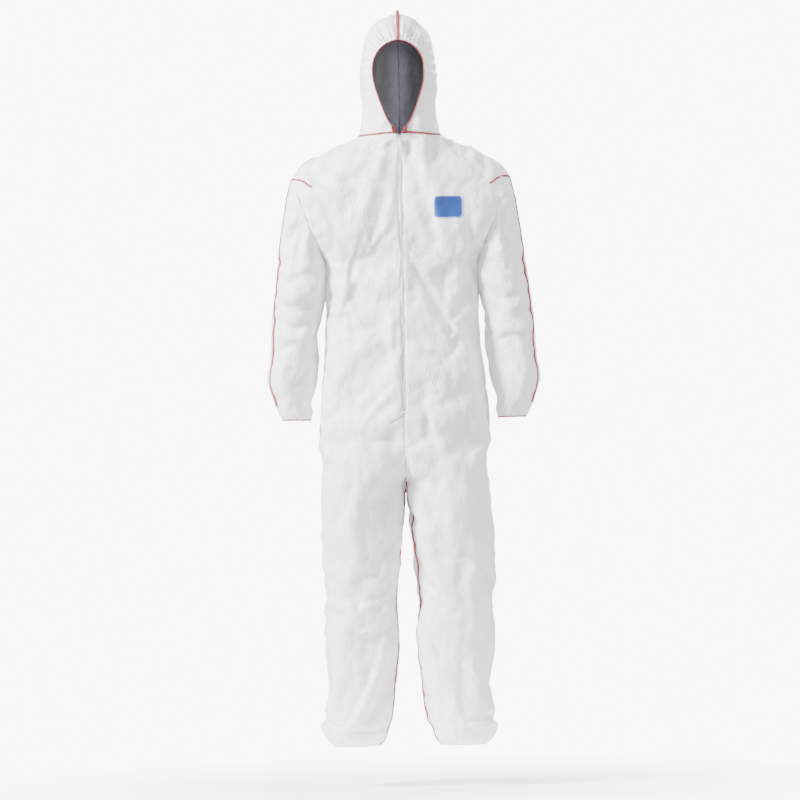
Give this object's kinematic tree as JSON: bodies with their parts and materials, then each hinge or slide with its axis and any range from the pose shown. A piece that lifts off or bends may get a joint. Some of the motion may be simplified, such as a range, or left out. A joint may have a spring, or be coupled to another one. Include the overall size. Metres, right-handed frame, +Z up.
{
  "type": "chemical protective suit",
  "caption": "Hooded white protective coverall of thin sheet cloth with red overlocked seams, elastic at the face, wrists, waist and ankles, and a front zip.",
  "frame": {"origin": "centre of the neck seam", "axes": "+Z up, the front of the suit faces -Y, +X towards the wearer's left"},
  "size_m": [0.6714, 0.2646, 1.7965],
  "materials": {
    "cloth": "crisp flash-spun sheet, soft sheen, fine creases, grey on the inside of the hood",
    "seam_thread": "red overlock thread",
    "binding": "bright red folded tape",
    "elastic": "white covered elastic",
    "zip_tape": "white woven tape",
    "zip_plastic": "white moulded plastic",
    "label": "plain blue woven patch with a pale sewn edge"
  },
  "bodies": {
    "trunk": {"left_body_panel": "cloth", "right_body_panel": "cloth", "left_hip_panel": "cloth", "right_hip_panel": "cloth", "left_sleeve_head": "cloth", "right_sleeve_head": "cloth", "hood_neck_left": "cloth", "hood_neck_right": "cloth", "neck_seam": "seam_thread", "hood_nape_seam": "seam_thread", "center_back_seam": "seam_thread", "crotch_seam": "seam_thread", "zip_end_stitch": "seam_thread", "left_shoulder_seam": "seam_thread", "right_shoulder_seam": "seam_thread", "left_armhole_seam": "seam_thread", "right_armhole_seam": "seam_thread", "left_neck_tab": "binding", "right_neck_tab": "binding", "waist_elastic": "elastic", "zip_tape_left": "zip_tape", "zip_tape_right": "zip_tape", "zip_teeth_left": "zip_plastic", "zip_teeth_right": "zip_plastic", "zip_top_stop_left": "zip_plastic", "zip_top_stop_right": "zip_plastic", "zip_bottom_stop": "zip_plastic", "chest_label": "label"},
    "hood": {"hood_left_panel": "cloth", "hood_right_panel": "cloth", "hood_crown_seam": "seam_thread", "face_edge_seam": "seam_thread", "face_elastic": "elastic"},
    "left_sleeve": {"left_sleeve": "cloth", "left_sleeve_seam": "seam_thread", "left_wrist_elastic": "elastic", "left_wrist_hem": "seam_thread"},
    "right_sleeve": {"right_sleeve": "cloth", "right_sleeve_seam": "seam_thread", "right_wrist_elastic": "elastic", "right_wrist_hem": "seam_thread"},
    "left_leg": {"left_leg_panel": "cloth", "left_inseam": "seam_thread", "left_ankle_elastic": "elastic", "left_ankle_hem": "elastic"},
    "right_leg": {"right_leg_panel": "cloth", "right_inseam": "seam_thread", "right_ankle_elastic": "elastic", "right_ankle_hem": "elastic"},
    "zip_slider": {"zip_slider": "zip_plastic"},
    "zip_pull": {"zip_pull": "zip_plastic"}
  },
  "joints": [
    {"name": "hood_tilt", "type": "hinge", "parent": "trunk", "child": "hood", "pos_m": [0, 0, 0.02], "axis": [-1, 0, 0], "range_deg": [-20, 35], "deforming": ["hood_neck_left", "hood_neck_right", "hood_nape_seam", "face_edge_seam", "face_elastic"]},
    {"name": "left_sleeve_raise", "type": "hinge", "parent": "trunk", "child": "left_sleeve", "pos_m": [0.228, 0, -0.212], "axis": [0, -1, 0], "range_deg": [0, 70], "deforming": ["left_sleeve_head", "left_sleeve_seam"]},
    {"name": "right_sleeve_raise", "type": "hinge", "parent": "trunk", "child": "right_sleeve", "pos_m": [-0.228, 0, -0.212], "axis": [0, 1, 0], "range_deg": [0, 70], "deforming": ["right_sleeve_head", "right_sleeve_seam"]},
    {"name": "left_leg_swing", "type": "hinge", "parent": "trunk", "child": "left_leg", "pos_m": [0.106, 0, -0.76], "axis": [-1, 0, 0], "range_deg": [-20, 55], "deforming": ["left_hip_panel", "crotch_seam"]},
    {"name": "right_leg_swing", "type": "hinge", "parent": "trunk", "child": "right_leg", "pos_m": [-0.106, 0, -0.76], "axis": [-1, 0, 0], "range_deg": [-20, 55], "deforming": ["right_hip_panel"]},
    {"name": "zip_slide", "type": "slide", "parent": "trunk", "child": "zip_slider", "axis": [0, -0.0519, -0.9987], "range_m": [0, 0.64]},
    {"name": "zip_pull_swing", "type": "hinge", "parent": "zip_slider", "child": "zip_pull", "pos_m": [0, -0.09418, -0.0187], "axis": [-1, 0, 0], "range_deg": [0, 165]}
  ]
}
